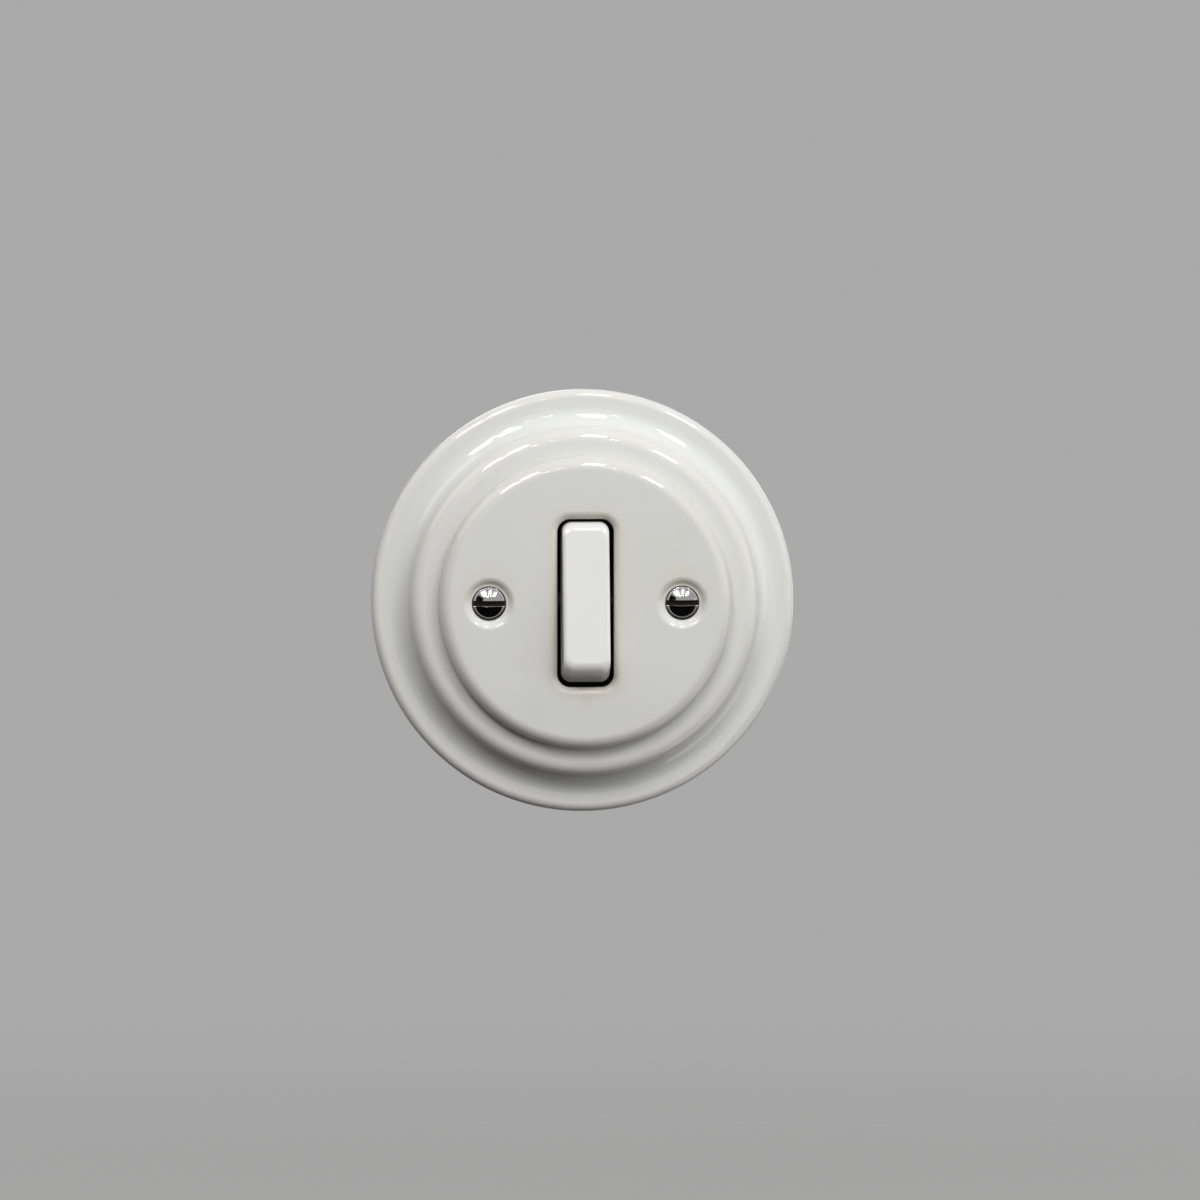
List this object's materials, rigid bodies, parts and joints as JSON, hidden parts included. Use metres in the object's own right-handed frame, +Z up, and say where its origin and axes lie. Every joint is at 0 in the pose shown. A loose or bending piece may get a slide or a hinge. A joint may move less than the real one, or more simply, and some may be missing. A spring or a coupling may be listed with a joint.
{
  "type": "flush pushbutton light switch",
  "caption": "Round flush wall switch: stepped glazed porcelain frame and cover, narrow white rocker button, slotted chrome screws and a changeover mechanism behind.",
  "frame": {"origin": "centre of the two box screws, on the wall plane", "axes": "+Z up the wall, +Y into the wall, so that the front faces -Y, +X to the right seen from the front"},
  "size_m": [0.1, 0.0438, 0.1],
  "materials": {
    "porcelain": "clear gloss glaze over white porcelain",
    "button_white": "gloss moulded white",
    "carrier_grey": "satin moulded grey",
    "moulding_black": "pressed black thermoset",
    "chromed": "polished chrome plate",
    "zinc_steel": "bright zinc plate",
    "brass": "stamped brass",
    "silver": "silver contact metal"
  },
  "bodies": {
    "insert": {"frame_ring": "porcelain", "cover_plate": "porcelain", "cover_screws": "chromed", "cover_posts": "zinc_steel", "mechanism_cover": "moulding_black", "support_plate": "zinc_steel", "base_housing": "moulding_black", "body_rivets": "brass", "common_strip": "brass", "upper_strip": "brass", "lower_strip": "brass", "fixed_contacts": "silver", "terminal_clamps": "brass", "terminal_screws": "brass"},
    "rocker": {"rocker_button": "button_white", "rocker_carrier": "carrier_grey", "pivot_pin": "zinc_steel", "plunger": "carrier_grey", "plunger_spring": "zinc_steel"},
    "lever": {"contact_lever": "brass", "lever_contacts": "silver"}
  },
  "joints": [
    {"name": "rocker_swing", "type": "hinge", "parent": "insert", "child": "rocker", "pos_m": [0, -0.01005, 0], "axis": [1, 0, 0], "range_deg": [0, 19]},
    {"name": "lever_swing", "type": "hinge", "parent": "insert", "child": "lever", "pos_m": [0, 0.0049, 0], "axis": [1, 0, 0], "range_deg": [-14, 0]}
  ],
  "couplings": [
    {"joint": "lever_swing", "follows": "rocker_swing", "ratio": -0.7368}
  ]
}
